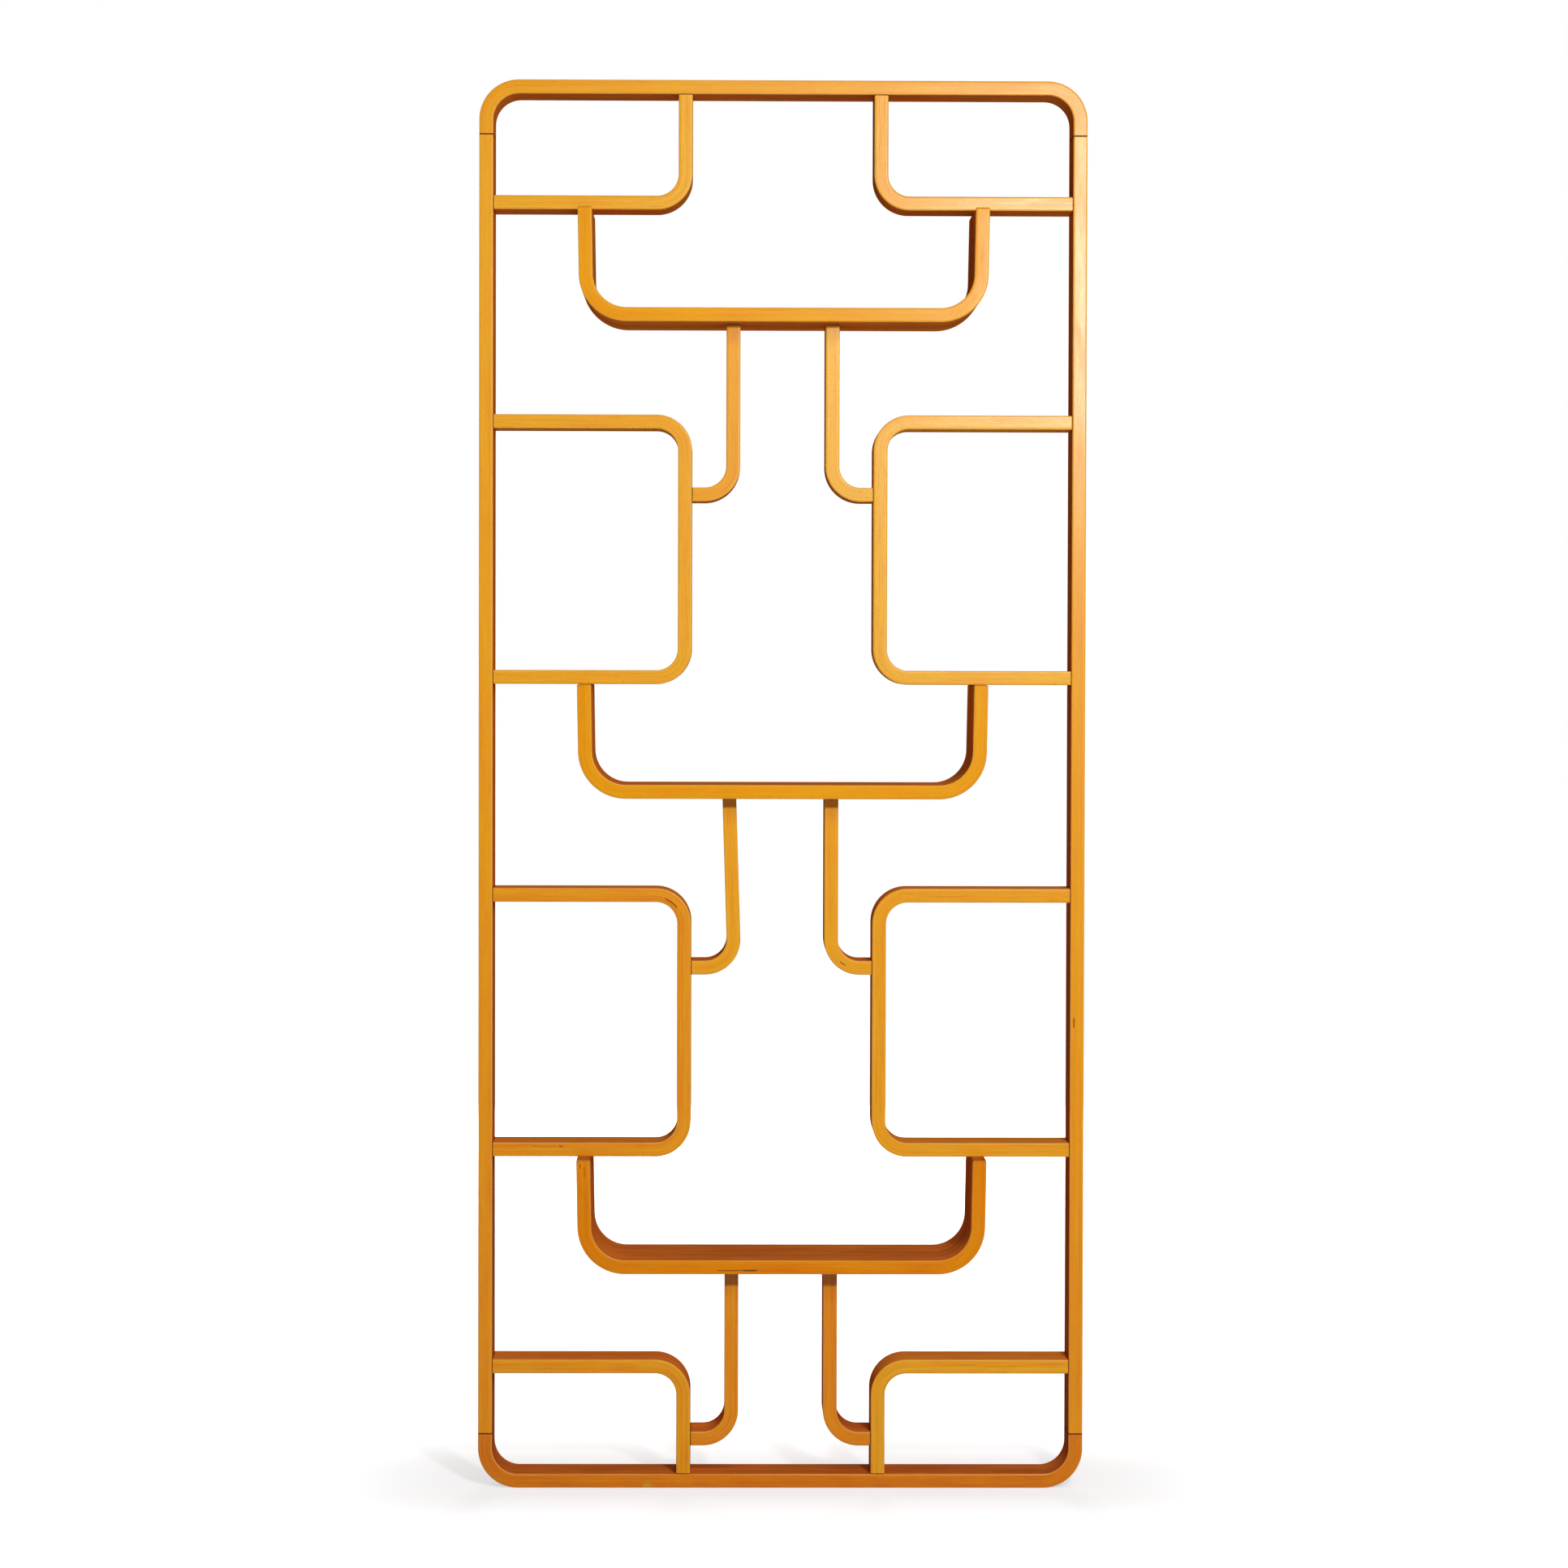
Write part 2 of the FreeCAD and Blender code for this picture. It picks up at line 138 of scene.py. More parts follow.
def side_of(name):
    """The way outwards, the inner face and the outer end of a piece that lies on one side."""
    low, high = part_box(name)
    if low.x > 0:
        return 1, low.x, high.x
    return -1, high.x, low.x


def rail_line(name):
    low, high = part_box(name)
    half = high.x - STOCK / 2
    level, end = (high.z - STOCK / 2, low.z) if name == "top_rail" else (low.z + STOCK / 2, high.z)
    return [(-half, end), (-half, level), (half, level), (half, end)]


def stile_line(name):
    low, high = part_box(name)
    middle = (low.x + high.x) / 2
    return [(middle, low.z), (middle, high.z)]


def bracket_line(name):
    low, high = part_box(name)
    outwards, inner, outer = side_of(name)
    upright = inner + outwards * STOCK / 2
    upper = name.startswith("upper")
    level, end = (low.z + STOCK / 2, high.z) if upper else (high.z - STOCK / 2, low.z)
    return [(outer, level), (upright, level), (upright, end)]


def shelf_line(name):
    low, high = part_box(name)
    outwards, inner, outer = side_of(name)
    upright = inner + outwards * STOCK / 2
    top, foot = high.z - STOCK / 2, low.z + STOCK / 2
    return [(outer, top), (upright, top), (upright, foot), (outer, foot)]


def tray_line(name):
    low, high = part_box(name)
    slope = TRAY_FLARE / (high.z - low.z)
    leg = STOCK * math.hypot(1, slope)
    top = high.x - leg / 2
    foot = top - TRAY_FLARE + slope * STOCK / 2
    level = low.z + STOCK / 2
    return [(-top, high.z), (-foot, level), (foot, level), (top, high.z)]


def hook_line(name):
    low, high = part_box(name)
    outwards, inner, outer = side_of(name)
    lean_top = lean_foot = 0.0
    if name == LEANING_HOOK:
        inner = -side_of(UPRIGHT_TWIN)[1]
        lean_top, lean_foot = LEAN_TOP, LEAN_FOOT
    slope = (lean_top + lean_foot) / (high.z - low.z)
    leg = STOCK * math.hypot(1, slope)
    level = low.z + STOCK / 2
    top = inner + outwards * (lean_top + leg / 2)
    foot = inner + outwards * (slope * STOCK / 2 - lean_foot + leg / 2)
    return [(top, high.z), (foot, level), (outer, level)]


LINE = {
    "rail": rail_line, "stile": stile_line, "bracket": bracket_line,
    "shelf": shelf_line, "tray": tray_line, "hook": hook_line,
}


def unit(step):
    return step / abs(step)


def bent_line(corners, bend):
    """A strip's middle as straight and bent stretches: start, way, curve and length, in x + iz."""
    corners = [complex(*corner) for corner in corners]
    radius = bend + STOCK / 2
    stretches = []
    start = corners[0]
    for before, corner, after in zip(corners, corners[1:], corners[2:]):
        into, out = unit(corner - before), unit(after - corner)
        turn = cmath.phase(out / into)
        reach = radius * math.tan(abs(turn) / 2)
        bend_start = corner - into * reach
        stretches.append((start, into, 0.0, abs(bend_start - start)))
        stretches.append((bend_start, into, math.copysign(1 / radius, turn), radius * abs(turn)))
        start = corner + out * reach
    stretches.append((start, unit(corners[-1] - start), 0.0, abs(corners[-1] - start)))
    return stretches


def length_of(stretches):
    return sum(stretch[3] for stretch in stretches)


def on_line(stretches, distances):
    """Points and directions at distances along a strip's middle."""
    points = np.zeros(len(distances), complex)
    ways = np.zeros(len(distances), complex)
    begun = 0.0
    for start, way, curve, length in stretches:
        on = distances >= begun
        gone = distances[on] - begun
        turned = np.exp(1j * curve * gone)
        points[on] = start + way * ((turned - 1) / (1j * curve) if curve else gone)
        ways[on] = way * turned
        begun += length
    return points, ways


def steps_along(stretches):
    """Distances along a strip's middle at which its mesh has rings."""
    begun = 0.0
    steps = []
    for _, _, curve, length in stretches:
        pace = BEND_STEP / abs(curve) if curve else RUN_STEP
        count = math.ceil(length / pace)
        steps.append(begun + length * np.arange(1, count + 1) / count)
        begun += length
    return np.concatenate(steps)


def spots_on(name, stretches, spots):
    """Spots of one strip as distance along it, level from its middle, and their own sizes."""
    fine = np.arange(0, length_of(stretches), SPOT_STEP)
    points, ways = on_line(stretches, fine)
    found = []
    for strip, place, *sizes in spots:
        if strip == name:
            gap = complex(*place) - points
            nearest = np.argmin(abs(gap))
            found.append((fine[nearest], (gap[nearest] / (ways[nearest] * 1j)).real, *sizes))
    return found


def points_for_marks(cracks, scuffs):
    """Where an edge needs points, as shares of its flat half, and where the strip needs rings."""
    flat = STOCK / 2 - EDGE_ROUND
    levels = [np.linspace(-1, 1, EDGE_STEPS + 1) * flat]
    stops = [np.zeros(0)]
    for distance, level, length, width in cracks:
        opening = level + np.array([-0.5, 0.0, 0.5]) * width
        levels += [opening, -opening]
        stops.append(distance + np.linspace(-0.5, 0.5, MARK_STEPS + 1) * length)
    for distance, _, reach in scuffs:
        stops.append(distance + np.linspace(-1, 1, MARK_STEPS + 1) * reach)
    edge_shares = np.unique(np.round(np.concatenate(levels), 6)) / flat
    return edge_shares, np.concatenate(stops)


def rounded_section(depth, inset, edge_shares):
    """A strip's section as rows of level, depth and how far round an edge a point lies."""
    thick, deep = STOCK / 2 - inset, depth / 2 - inset
    radius = max(EDGE_ROUND - inset, 2 * NEAR)
    edge = edge_shares * (thick - radius)
    face = np.linspace(-1, 1, math.ceil(depth / FACE_STEP) + 1) * (deep - radius)
    arc = np.linspace(0, math.pi / 2, ROUND_STEPS + 1)[1:-1]
    rows = []
    for quarter in range(4):
        swap = quarter % 2
        sign = 1 if quarter < 2 else -1
        flat, limit = (face, thick) if swap else (edge, deep)
        for step in flat:
            level, place = (sign * limit, -sign * step) if swap else (sign * step, sign * limit)
            rows.append((level, place, 0.0))
        corner_level, corner_place = sign * (thick - radius), sign * (deep - radius)
        if swap:
            corner_place = -corner_place
        for angle in arc:
            round_share = 1 - abs(angle / (math.pi / 4) - 1)
            ahead, aside = radius * math.sin(angle), radius * math.cos(angle)
            if swap:
                rows.append((corner_level + sign * aside, corner_place - sign * ahead, round_share))
            else:
                rows.append((corner_level + sign * ahead, corner_place + sign * aside, round_share))
    return np.array(rows)


def ring_distances(stretches, ease, stops):
    """Where a strip's rings lie along it, and how far each is drawn in at the eased ends."""
    length = length_of(stretches)
    arc = np.linspace(math.pi / 2, 0, EASE_STEPS + 1)
    back, drawn_in = ease * (1 - np.sin(arc)), ease * (1 - np.cos(arc))
    first = np.append(back, ease + JOINT_LINE)
    inner = np.unique(np.round(np.concatenate([steps_along(stretches), stops]), 6))
    inner = inner[(inner > first[-1] + JOINT_LINE) & (inner < length - first[-1] - JOINT_LINE)]
    distances = np.concatenate([first, inner, length - first[::-1]])
    insets = np.concatenate([drawn_in, np.zeros(len(inner) + 2), drawn_in[::-1]])
    return distances, insets


def across_line(ways):
    """Directions through a strip's stock: square to its line, but along the flush cuts at its ends."""
    normals = ways * 1j
    for index in (*range(END_RINGS), *range(-END_RINGS, 0)):
        way = ways[index]
        upright = abs(way.imag) > abs(way.real)
        lean = normals[index].imag / way.imag if upright else normals[index].real / way.real
        normals[index] -= way * lean
    return normals


def worn_front(cracks, scuffs, along, level, place, rim):
    """How far glue lines sink into the front edge, and the marks on it: dark above 0, pale below."""
    front = (place < 0) & (abs(level) < STOCK / 2)
    sunk = np.zeros_like(place)
    mark = np.zeros_like(place)
    for distance, crack_level, length, width in cracks:
        lengthways = np.clip(2 - 2 * (2 * (along - distance) / length) ** 2, 0, 1)
        crossways = np.clip(1 - 2 * abs(level - crack_level) / width, 0, 1)
        opening = lengthways * crossways * (front & (rim == 0))
        sunk += opening * CRACK_DEPTH
        mark = np.maximum(mark, np.sqrt(opening))
    for distance, scuff_level, reach in scuffs:
        gap = np.hypot(along - distance, level - scuff_level)
        mark -= np.clip(2 - 2 * gap / reach, 0, 1) * front
    return sunk, mark


def skin(rings, columns):
    """Faces of a strip: quads round it from ring to ring, then a cap at each end."""
    faces = []
    for ring in range(rings - 1):
        for column in range(columns):
            beside = (column + 1) % columns
            a, b = ring * columns, (ring + 1) * columns
            faces.append((a + column, a + beside, b + beside, b + column))
    faces.append(tuple(range(columns))[::-1])
    faces.append(tuple(range((rings - 1) * columns, rings * columns)))
    return faces


def unrolled(mesh, distances, section):
    """The strip's skin laid out flat for textures, cut into lengths that lie side by side."""
    steps = np.diff(section[:, :2], axis=0, append=section[:1, :2])
    round_it = np.concatenate([[0.0], np.cumsum(np.hypot(steps[:, 0], steps[:, 1]))])
    around, length, margin = round_it[-1], distances[-1], STOCK / 4
    cuts = max(1, round(math.sqrt(length / around)))
    columns = len(section)
    places = []
    tallest = 0.0
    for ring in range(len(distances) - 1):
        middle = (distances[ring] + distances[ring + 1]) / 2
        cut = int(middle / length * cuts)
        first = distances[np.searchsorted(distances, length * cut / cuts) - (1 if cut else 0)]
        left = cut * (around + margin)
        low, high = distances[ring] - first, distances[ring + 1] - first
        tallest = max(tallest, high)
        for column in range(columns):
            near, far = left + round_it[column], left + round_it[column + 1]
            places += [(near, low), (far, low), (far, high), (near, high)]
    above = tallest + margin + STOCK / 2
    deep = np.ptp(section[:, 1])
    places += [(place + deep / 2, above + level) for level, place, _ in section[::-1]]
    places += [(place + deep * 1.5 + margin, above + level) for level, place, _ in section]
    flat = np.array(places)
    flat /= [cuts * (around + margin) - margin, above + STOCK / 2]
    layer = mesh.uv_layers.new(name="OFBake")
    layer.data.foreach_set("uv", flat.ravel())


def keep_on_points(mesh, name, kind, values):
    """A named value or vector for each point of a mesh, for the materials to read."""
    layer = mesh.attributes.new(name, kind, "POINT")
    layer.data.foreach_set("vector" if kind == "FLOAT_VECTOR" else "value", values.ravel())


def strip_mesh(name, family, number):
    """A bent strip with rounded edges, its wood's coordinates and its finish."""
    low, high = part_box(name)
    ease = EDGE_ROUND if family == "tray" else JOINT_EASE
    stretches = bent_line(LINE[family](name), BEND[family])
    cracks = spots_on(name, stretches, CRACKS)
    scuffs = spots_on(name, stretches, SCUFFS)
    edge_shares, stops = points_for_marks(cracks, scuffs)

    # Rings of points along the line
    distances, insets = ring_distances(stretches, ease, stops)
    sections = np.array([rounded_section(high.y - low.y, inset, edge_shares) for inset in insets])
    rings, columns = sections.shape[:2]
    level, place, rim = (sections[..., index] for index in range(3))
    along = np.repeat(distances, columns).reshape(rings, columns)
    sunk, mark = worn_front(cracks, scuffs, along, level, place, rim)
    at_end = np.minimum(along, distances[-1] - along) < ease + NEAR
    mark = np.where(at_end, END_MARK.get(family, 1.0), mark)
    places, ways = on_line(stretches, distances)
    flat = places[:, None] + across_line(ways)[:, None] * level
    corners = np.stack([flat.real, place + sunk, flat.imag], axis=-1).reshape(-1, 3)
    mesh = bpy.data.meshes.new(name)
    mesh.from_pydata(corners.tolist(), [], skin(rings, columns))

    # Edges take the first material, broad faces and end caps the second
    middle = sections[rings // 2]
    unrolled(mesh, distances, middle)
    on_face = abs(middle[:, 0]) > STOCK / 2 - NEAR
    broad = np.tile(on_face & np.roll(on_face, -1), rings - 1)
    mesh.polygons.foreach_set("material_index", np.append(broad, [True, True]).astype(np.int32))

    # Place in the wood, tone, plainness of the plies and marks
    grain = np.stack([along.ravel() + number * STRIP_STEP, corners[:, 1], level.ravel()], axis=-1)
    # Tone with painted light in it: painted shade on the low strips, painted highlight by the glare, and
    # painted shade deepening the stiles towards their feet
    tone = TONE[name] + FOOT_PAINTED_SHADE.get(name, 0.0) * (1 - corners[:, 2] / cad_box[1][2])
    # Broad faces: half the strip's tone and a deeper one, partly their own colour and partly painted
    # shade
    face_tone = tone * FACE_SHARE + FACE_DEPTH_AND_SHADE[family]
    tone = np.where(np.tile(on_face, rings), face_tone, tone)
    finish = np.stack([tone, np.full(len(tone), LINES[family]), mark.ravel()], axis=-1)
    keep_on_points(mesh, "grain", "FLOAT_VECTOR", grain)
    keep_on_points(mesh, "finish", "FLOAT_VECTOR", finish)
    keep_on_points(mesh, "rim", "FLOAT", rim)
    return mesh


# Noise in the wood: waves a metre along a strip, across it and through it, detail and roughness. The
# seams and the streaks count their third way in plies, and the dowels take x, y and z.
NOISE = {
    "seam": ((16.0, 20.0, 3.7), 4.0, 0.5),
    "streak": ((4.0, 140.0, 1.0), 4.0, 0.6),
    "broad_streak": ((2.2, 38.0, 210.0), 2.0, 0.5),
    "hair": ((11.0, 900.0, 1100.0), 2.0, 0.5),
    "pores": ((42.0, 1300.0, 1300.0), 2.0, 0.5),
    "cloud": ((11.0, 26.0, 60.0), 3.0, 0.5),
    "flecks": ((230.0, 1500.0, 1500.0), 1.0, 0.5),
    "ripple": ((70.0, 90.0, 160.0), 2.0, 0.5),
    "dowel_rings": ((420.0, 420.0, 420.0), 3.0, 0.6),
    "dowel_pores": ((1600.0, 1600.0, 1600.0), 2.0, 0.5),
}


class Shader:
    """The nodes of a material or a world, added and linked by short calls."""

    def __init__(self, owner, surface="Principled BSDF"):
        owner.use_nodes = True
        self.tree = owner.node_tree
        self.surface = self.tree.nodes[surface].inputs

    def node(self, kind, inputs, **settings):
        made = self.tree.nodes.new(kind)
        for key, setting in settings.items():
            setattr(made, key, setting)
        for key, source in inputs.items():
            self.feed(made.inputs[key], source)
        return made

    def feed(self, socket, source):
        if isinstance(source, bpy.types.NodeSocket):
            self.tree.links.new(source, socket)
        else:
            socket.default_value = source

    def math(self, operation, *values, clamp=False):
        inputs = dict(enumerate(values))
        return self.node("ShaderNodeMath", inputs, operation=operation, use_clamp=clamp).outputs[0]

    def between(self, value, low, high):
        return self.math("MINIMUM", self.math("MAXIMUM", value, low), high)

    def total(self, start, parts):
        """A start value plus each source times its amount."""
        for source, amount in parts:
            start = self.math("MULTIPLY_ADD", source, amount, start)
        return start

    def swing(self, source):
        """How far noise lies from its middle."""
        return self.math("SUBTRACT", source, 0.5)

    def split(self, vector):
        return self.node("ShaderNodeSeparateXYZ", {"Vector": vector}).outputs

    def join(self, x, y, z):
        return self.node("ShaderNodeCombineXYZ", {"X": x, "Y": y, "Z": z}).outputs[0]

    def attribute(self, name):
        return self.node("ShaderNodeAttribute", {}, attribute_name=name)

    def noise(self, vector, name):
        stretch, detail, roughness = NOISE[name]
        inputs = {0: vector, 1: stretch}
        scaled = self.node("ShaderNodeVectorMath", inputs, operation="MULTIPLY").outputs[0]
        inputs = {"Vector": scaled, "Scale": 1.0, "Detail": detail, "Roughness": roughness}
        return self.node("ShaderNodeTexNoise", inputs).outputs["Fac"]

    def smooth(self, value, low, high, to_low=0.0, to_high=1.0):
        inputs = {"Value": value, "From Min": low, "From Max": high, "To Min": to_low, "To Max": to_high}
        made = self.node("ShaderNodeMapRange", inputs, interpolation_type="SMOOTHSTEP")
        return made.outputs["Result"]

    def ramp(self, value, stops):
        made = self.node("ShaderNodeValToRGB", {"Fac": value})
        elements = made.color_ramp.elements
        while len(elements) < len(stops):
            elements.new(1.0)
        for element, (position, colour) in zip(elements, stops):
            element.position = position
            element.color = (*colour, 1.0)
        return made.outputs["Color"]

    def mix(self, factor, first, second):
        inputs = {"Factor": factor, "A": first, "B": second}
        return self.node("ShaderNodeMix", inputs, data_type="RGBA").outputs["Result"]

    def bump(self, height, strength, distance):
        inputs = {"Strength": strength, "Distance": distance, "Height": height}
        return self.node("ShaderNodeBump", inputs).outputs["Normal"]

    def seen(self):
        """1 for the rays that show the background: the camera's, and those through glass or off gloss."""
        path = self.node("ShaderNodeLightPath", {}).outputs
        straight = self.math("MAXIMUM", path["Is Camera Ray"], path["Is Transmission Ray"])
        return self.math("MAXIMUM", straight, path["Is Glossy Ray"])


# Wood tones of the edges and the faces, as linear colours, with more blue in the faces' tones, partly the
# veneer's own greyer colour and partly a painted sheen in place of gloss on the matte faces; and the
# colours of what marks them
EDGE_TONES = (
    (0.0, (0.87, 0.46, 0.026)),
    (0.35, (0.83, 0.335, 0.003)),
    (0.65, (0.74, 0.200, 0.001)),
    (1.0, (0.38, 0.070, 0.001)),
)
# Face tones: greyer than the edges, partly their own colour and partly a painted sheen
FACE_TONES = (
    (0.0, (0.87, 0.46, 0.050)),
    (0.35, (0.83, 0.335, 0.035)),
    (0.65, (0.74, 0.200, 0.025)),
    (1.0, (0.38, 0.070, 0.014)),
)
GLUE_COLOUR = (0.14, 0.030, 0.004, 1.0)
FLECK_COLOUR = (0.20, 0.050, 0.004, 1.0)
# Pale rim colour, partly wear and partly a painted highlight
WEAR_AND_HIGHLIGHT_COLOUR = (0.92, 0.52, 0.11, 1.0)
SCUFF_COLOUR = (0.72, 0.44, 0.010, 1.0)

# How far the streaks of one ply lie from the next ply's, and how they drift through a ply
PLY_APART = 3.1
PLY_DRIFT = 2.0

# The values between which noise fades in, and the plies' shares over which a glue line fades out
FADE = {
    "seam_line": (0.04, 0.15), "seam": (0.46, 0.68), "hair": (0.58, 0.72),
    "flecks": (0.70, 0.78), "wear_and_highlight": (0.40, 0.62),
}

# How far each pattern moves the tone, and how fully each colour covers the wood, on the rims, where the
# pale colour is partly wear and partly a painted highlight, from the least to the most covered
SHADE = {"ply": 0.16, "streak": 0.42, "hair": 0.22, "broad_streak": 0.28, "cloud": 0.30, "pores": 0.30}
COVER = {"glue": 0.62, "flecks": 0.40, "dark": 0.95, "scuff": 0.42}
WEAR_AND_HIGHLIGHT_COVER = (0.18, 0.60)

# Varnish: roughness and what adds to it, relief in shares of its height, and gloss by kind of face
ROUGHNESS = 0.17
ROUGHER = {"cloud": 0.14, "pores": 0.06, "rim": 0.28, "dark": 0.40}
RELIEF_HEIGHT = 0.001
RELIEF = {"ripple": 0.10, "streak": 0.03, "pores": 0.012, "seam": -0.008}
EDGE_SHINE = 0.22
TRAY_EDGE_SHINE = 0.10
FACE_SHINE = 0.0

# Bare dowels: tones and what moves them, strength and height of the relief, and roughness
DOWEL_TONES = ((0.3, (0.62, 0.42, 0.22)), (0.7, (0.44, 0.26, 0.11)))
DOWEL_SHADE = {"rings": 0.6, "pores": 0.4}
DOWEL_RELIEF = 0.6
DOWEL_RELIEF_HEIGHT = 0.0003
DOWEL_ROUGHNESS = 0.75


def plies(shader, grain):
    """Each ply's own tone, the streaks in it, and the glue lines that come and go between plies."""
    along, across, through = shader.split(grain)
    strip = shader.math("FLOOR", shader.math("DIVIDE", along, STRIP_STEP))
    level = shader.math("MULTIPLY_ADD", through, 1 / PLY, PLIES / 2)
    ply = shader.between(shader.math("FLOOR", level), 0.0, PLIES - 1.0)
    seed = shader.join(ply, strip, 0.0)
    tone = shader.node("ShaderNodeTexWhiteNoise", {"Vector": seed}).outputs["Value"]
    own = shader.math("MULTIPLY_ADD", ply, PLY_APART, shader.math("MULTIPLY", level, PLY_DRIFT))
    streak = shader.noise(shader.join(along, across, own), "streak")
    seam = shader.between(shader.math("ROUND", level), 1.0, PLIES - 1.0)
    gap = shader.math("ABSOLUTE", shader.math("SUBTRACT", level, seam))
    seam_noise = shader.noise(shader.join(along, across, seam), "seam")
    shown = shader.smooth(seam_noise, *FADE["seam"])
    seam_line = shader.math("MULTIPLY", shader.smooth(gap, *FADE["seam_line"], 1.0, 0.0), shown)
    return tone, streak, seam_line


def bent_plywood(name, tones, shine):
    """Varnished plywood: plies and glue lines in the edges, veneer grain on the faces."""
    material = bpy.data.materials.new(name)
    shader = Shader(material)
    grain = shader.attribute("grain").outputs["Vector"]
    tone, lines, mark = shader.split(shader.attribute("finish").outputs["Vector"])
    rim = shader.attribute("rim").outputs["Fac"]
    ply_tone, streak, seam_line = plies(shader, grain)
    broad_streak, pores, cloud, ripple = (
        shader.noise(grain, pattern) for pattern in ("broad_streak", "pores", "cloud", "ripple")
    )
    hair, flecks = (
        shader.smooth(shader.noise(grain, pattern), *FADE[pattern]) for pattern in ("hair", "flecks")
    )

    # Colour: the tone and what moves it, then what covers it
    shade = shader.total(0.0, (
        (shader.swing(ply_tone), SHADE["ply"]),
        (shader.swing(streak), SHADE["streak"]),
        (hair, SHADE["hair"]),
    ))
    shade = shader.total(shader.math("MULTIPLY", shade, lines), (
        (shader.swing(broad_streak), SHADE["broad_streak"]),
        (shader.swing(cloud), SHADE["cloud"]),
        (shader.swing(pores), SHADE["pores"]),
    ))
    colour = shader.ramp(shader.math("ADD", tone, shade, clamp=True), tones)
    glue = shader.math("MULTIPLY", shader.math("MULTIPLY", seam_line, lines), COVER["glue"])
    # Pale rims: partly wear, partly a painted highlight along the arrises, patchy by the cloud noise
    wear_and_highlight = shader.math("MULTIPLY", rim, shader.smooth(cloud, *FADE["wear_and_highlight"], *WEAR_AND_HIGHLIGHT_COVER))
    dark_mark = shader.math("MULTIPLY", mark, COVER["dark"], clamp=True)
    pale_mark = shader.math("MULTIPLY", mark, -COVER["scuff"], clamp=True)
    for cover, with_colour in (
        (glue, GLUE_COLOUR),
        (shader.math("MULTIPLY", flecks, COVER["flecks"]), FLECK_COLOUR),
        (wear_and_highlight, WEAR_AND_HIGHLIGHT_COLOUR),
        (dark_mark, GLUE_COLOUR),
        (pale_mark, SCUFF_COLOUR),
    ):
        colour = shader.mix(cover, colour, with_colour)

    # Varnish: uneven, and duller on the rims and in the marks
    rough = shader.total(ROUGHNESS, (
        (cloud, ROUGHER["cloud"]),
        (pores, ROUGHER["pores"]),
        (rim, ROUGHER["rim"]),
        (dark_mark, ROUGHER["dark"]),
    ))
    height = shader.total(0.0, (
        (ripple, RELIEF["ripple"]),
        (streak, RELIEF["streak"]),
        (pores, RELIEF["pores"]),
        (seam_line, RELIEF["seam"]),
    ))
    shader.feed(shader.surface["Base Color"], colour)
    shader.feed(shader.surface["Roughness"], rough)
    shader.feed(shader.surface["Normal"], shader.bump(height, 1.0, RELIEF_HEIGHT))
    shader.feed(shader.surface["Specular IOR Level"], shine)
    return material


def dowel_wood():
    """Plain turned hardwood for the dowels inside the joints."""
    material = bpy.data.materials.new("turned_dowel")
    shader = Shader(material)
    place = shader.node("ShaderNodeTexCoord", {}).outputs["Object"]
    shade = shader.total(0.0, (
        (shader.noise(place, "dowel_rings"), DOWEL_SHADE["rings"]),
        (shader.noise(place, "dowel_pores"), DOWEL_SHADE["pores"]),
    ))
    shader.feed(shader.surface["Base Color"], shader.ramp(shade, DOWEL_TONES))
    shader.feed(shader.surface["Normal"], shader.bump(shade, DOWEL_RELIEF, DOWEL_RELIEF_HEIGHT))
    shader.feed(shader.surface["Roughness"], DOWEL_ROUGHNESS)
    return material


# Strips in place of the plain solids
edge_wood = bent_plywood("satin_plywood", EDGE_TONES, EDGE_SHINE)
tray_edge_wood = bent_plywood("dull_plywood", EDGE_TONES, TRAY_EDGE_SHINE)
face_wood = bent_plywood("matte_plywood", FACE_TONES, FACE_SHINE)
for number, name in enumerate(TONE):
    family = name.split("_")[-1]
    strip = bpy.data.objects.new(f"{name}_strip", strip_mesh(name, family, number))
    bpy.context.scene.collection.objects.link(strip)
    strip.data.materials.append(tray_edge_wood if family == "tray" else edge_wood)
    strip.data.materials.append(face_wood)
    strip.data.shade_smooth()
    strip.modifiers.new("even_faces", "WEIGHTED_NORMAL")
    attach(strip, "root")
    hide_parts(name)

# Dowels, which stay as they are inside the joints
dowel_material = dowel_wood()
for name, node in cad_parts.items():
    if name.endswith("_dowels"):
        node.data.materials.clear()
        node.data.materials.append(dowel_material)

# Floor and background: white to the eye, with the shadow kept near the object
FLOOR_REACH = 40.0
FLOOR_DROP = 0.0002
FLOOR_BOUNCE = (0.46, 0.46, 0.46, 1.0)
FLOOR_ROUGHNESS = 0.9
HALO = 0.5
HALO_GLOW = 0.62
ROOM_LIGHT = 0.05
ROOM_TOP = 0.05
WHITE = (1.0, 1.0, 1.0, 1.0)


def floor_material():
    """A pale floor that shows white from a little way off the object; its glow lights nothing matte."""
    material = bpy.data.materials.new("pale_floor")
    shader = Shader(material)
    place = shader.split(shader.node("ShaderNodeNewGeometry", {}).outputs["Position"])
    gaps = []
    for axis in range(2):
        gap = shader.math("SUBTRACT", shader.math("ABSOLUTE", place[axis]), cad_box[1][axis])
        gaps.append(shader.math("POWER", shader.math("MAXIMUM", gap, 0.0), 2.0))
    gap = shader.math("SQRT", shader.math("ADD", *gaps))
    glow = shader.math("MULTIPLY", shader.smooth(gap, 0.0, HALO, HALO_GLOW, 1.0), shader.seen())
    shader.feed(shader.surface["Base Color"], FLOOR_BOUNCE)
    shader.feed(shader.surface["Roughness"], FLOOR_ROUGHNESS)
    shader.feed(shader.surface["Specular IOR Level"], 0.0)
    shader.feed(shader.surface["Emission Color"], WHITE)
    shader.feed(shader.surface["Emission Strength"], glow)
    return material


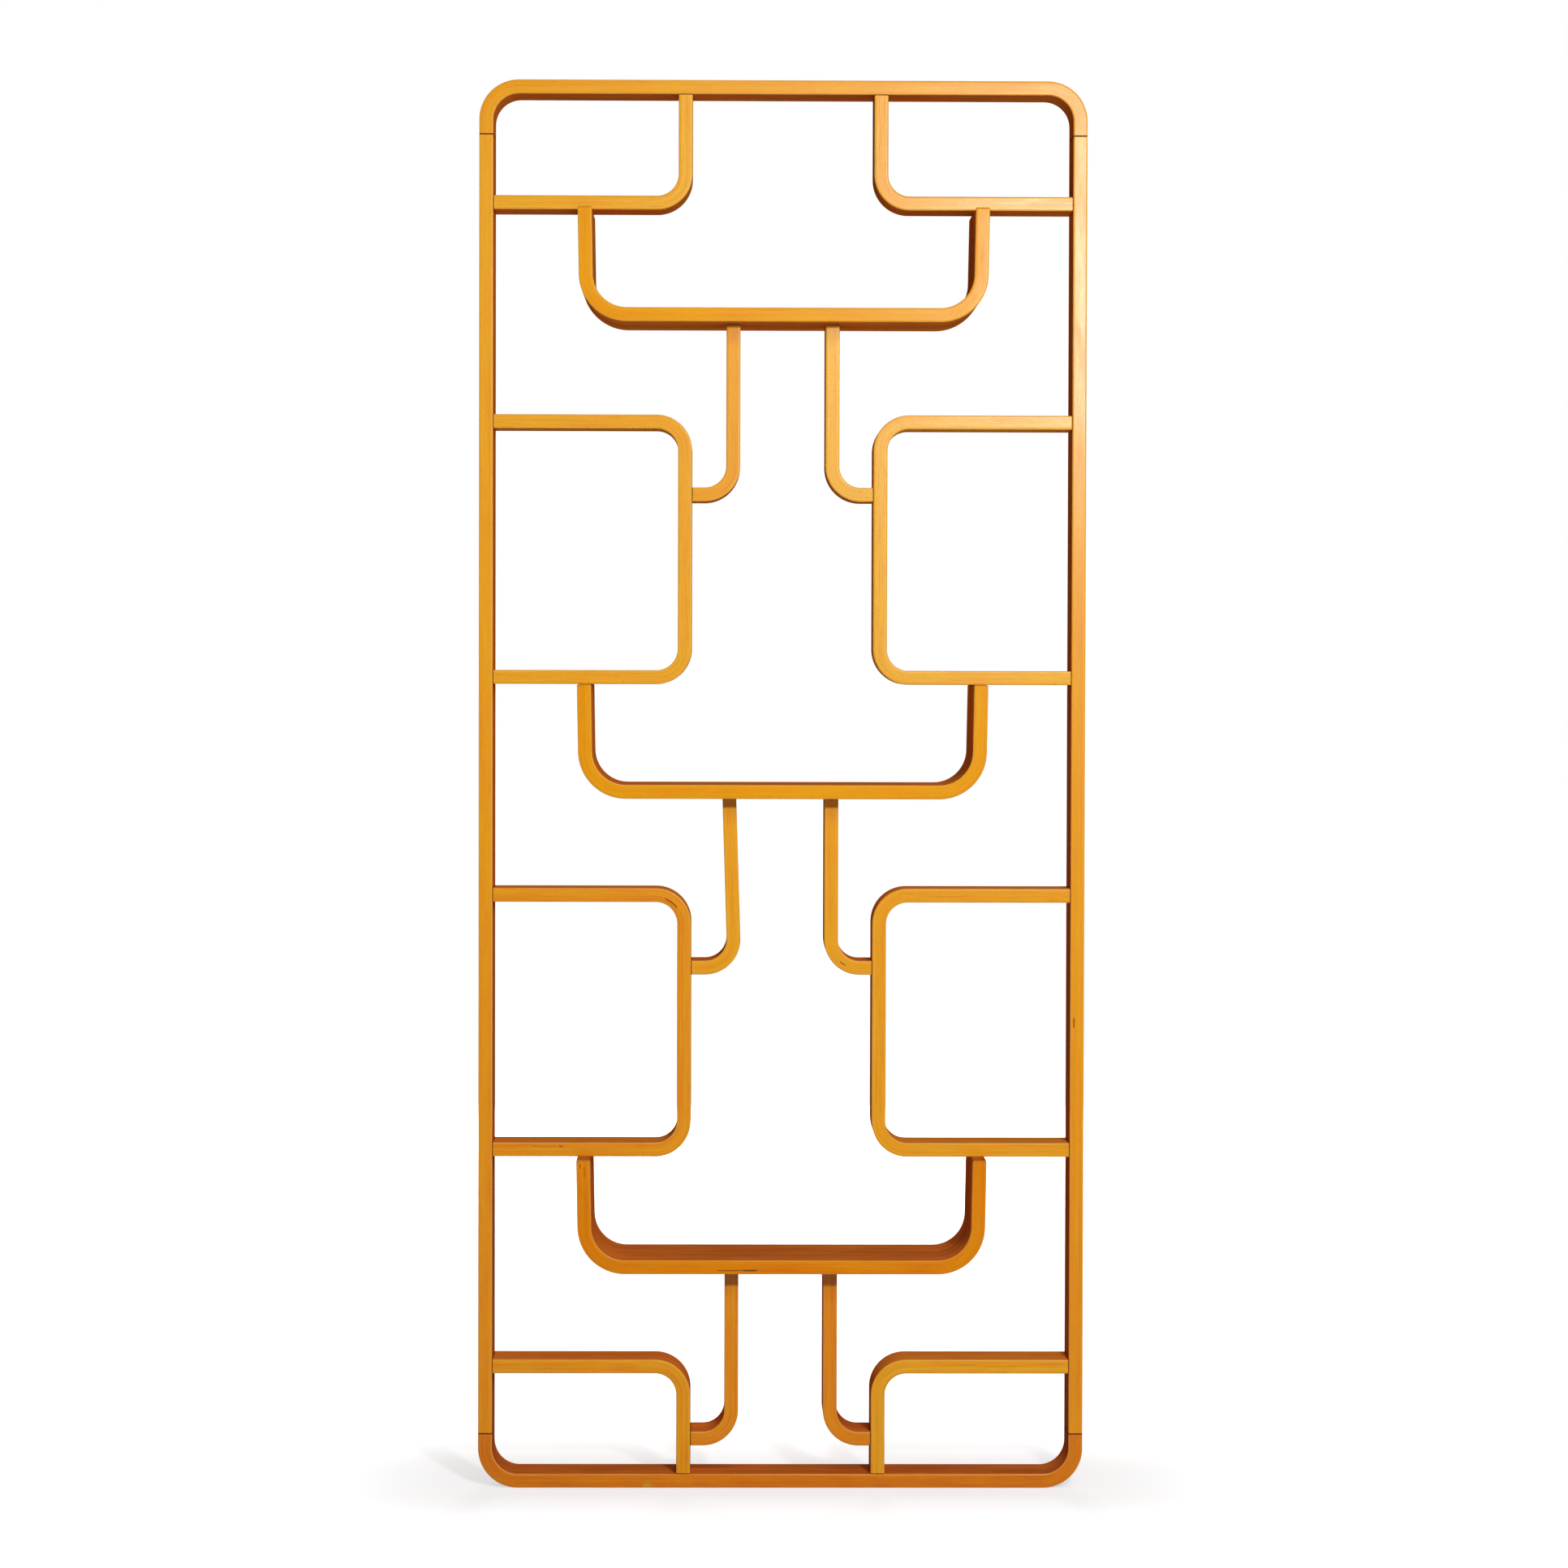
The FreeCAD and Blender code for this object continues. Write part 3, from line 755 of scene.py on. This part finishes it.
def studio_world():
    """A dim room, lighter overhead, that shows as white."""
    world = bpy.data.worlds.new("studio")
    shader = Shader(world, "Background")
    height = shader.split(shader.node("ShaderNodeTexCoord", {}).outputs["Generated"])[2]
    light = shader.math("MULTIPLY_ADD", shader.math("MAXIMUM", height, 0.0), ROOM_TOP, ROOM_LIGHT)
    shader.feed(shader.surface["Color"], WHITE)
    shader.feed(shader.surface["Strength"], shader.smooth(shader.seen(), 0.0, 1.0, light, 1.0))
    return world


bpy.ops.mesh.primitive_plane_add(size=2 * FLOOR_REACH, location=(0, 0, cad_box[0][2] - FLOOR_DROP))
floor = bpy.context.object
floor.name = "floor"
floor.data.materials.append(floor_material())
bpy.context.scene.world = studio_world()

# Lamps by name, place, size and power: a small key that gives the crisp shadows and the glare, and
# soft ones all round
AIM = Vector((0.0, 0.0, 1.05))
KEY = ("key", (0.85, -4.0, 2.06), (0.30, 0.30), 102.0)
SOFT_LAMPS = (
    ("fill", (0.6, -4.0, 3.4), (2.0, 2.0), 52.0),
    ("rear", (0.2, 6.0, 1.3), (1.6, 1.6), 230.0),
    ("left", (-1.4, 0.0, 1.05), (0.4, 2.4), 3.6),
    ("right", (1.4, 0.0, 1.05), (0.4, 2.4), 3.6),
)


def lamp(name, place, size, power):
    light = bpy.data.lights.new(name, "AREA")
    light.shape = "ELLIPSE"
    light.size, light.size_y = size
    light.energy = power
    made = bpy.data.objects.new(name, light)
    made.location = place
    made.rotation_euler = (AIM - made.location).to_track_quat("-Z", "Y").to_euler()
    made.visible_camera = False
    bpy.context.scene.collection.objects.link(made)
    return made


lamp(*KEY)
for soft in SOFT_LAMPS:
    lamp(*soft).visible_glossy = False

# Camera, fitted to the photograph's edges from a distance set to 7 m; focal length and image width in
# the photograph's pixels
CAMERA_PLACE = (-0.0875, -7.0, 1.1844)
CAMERA_DOWN = math.radians(1.406)
CAMERA_TURN = math.radians(-0.744)
CAMERA_ROLL = math.radians(0.146)
FOCAL_PIXELS = 5976
PHOTO_PIXELS = 1932
SENSOR = 36.0

camera_data = bpy.data.cameras.new("camera")
camera_data.sensor_width = SENSOR
camera_data.lens = FOCAL_PIXELS / PHOTO_PIXELS * SENSOR
camera = bpy.data.objects.new("camera", camera_data)
turn = Matrix.Rotation(CAMERA_TURN, 4, "Z")
tip = Matrix.Rotation(math.pi / 2 - CAMERA_DOWN, 4, "X")
roll = Matrix.Rotation(CAMERA_ROLL, 4, "Z")
camera.matrix_world = Matrix.Translation(CAMERA_PLACE) @ turn @ tip @ roll
bpy.context.scene.collection.objects.link(camera)
bpy.context.scene.camera = camera
bpy.context.scene.view_settings.view_transform = "Standard"
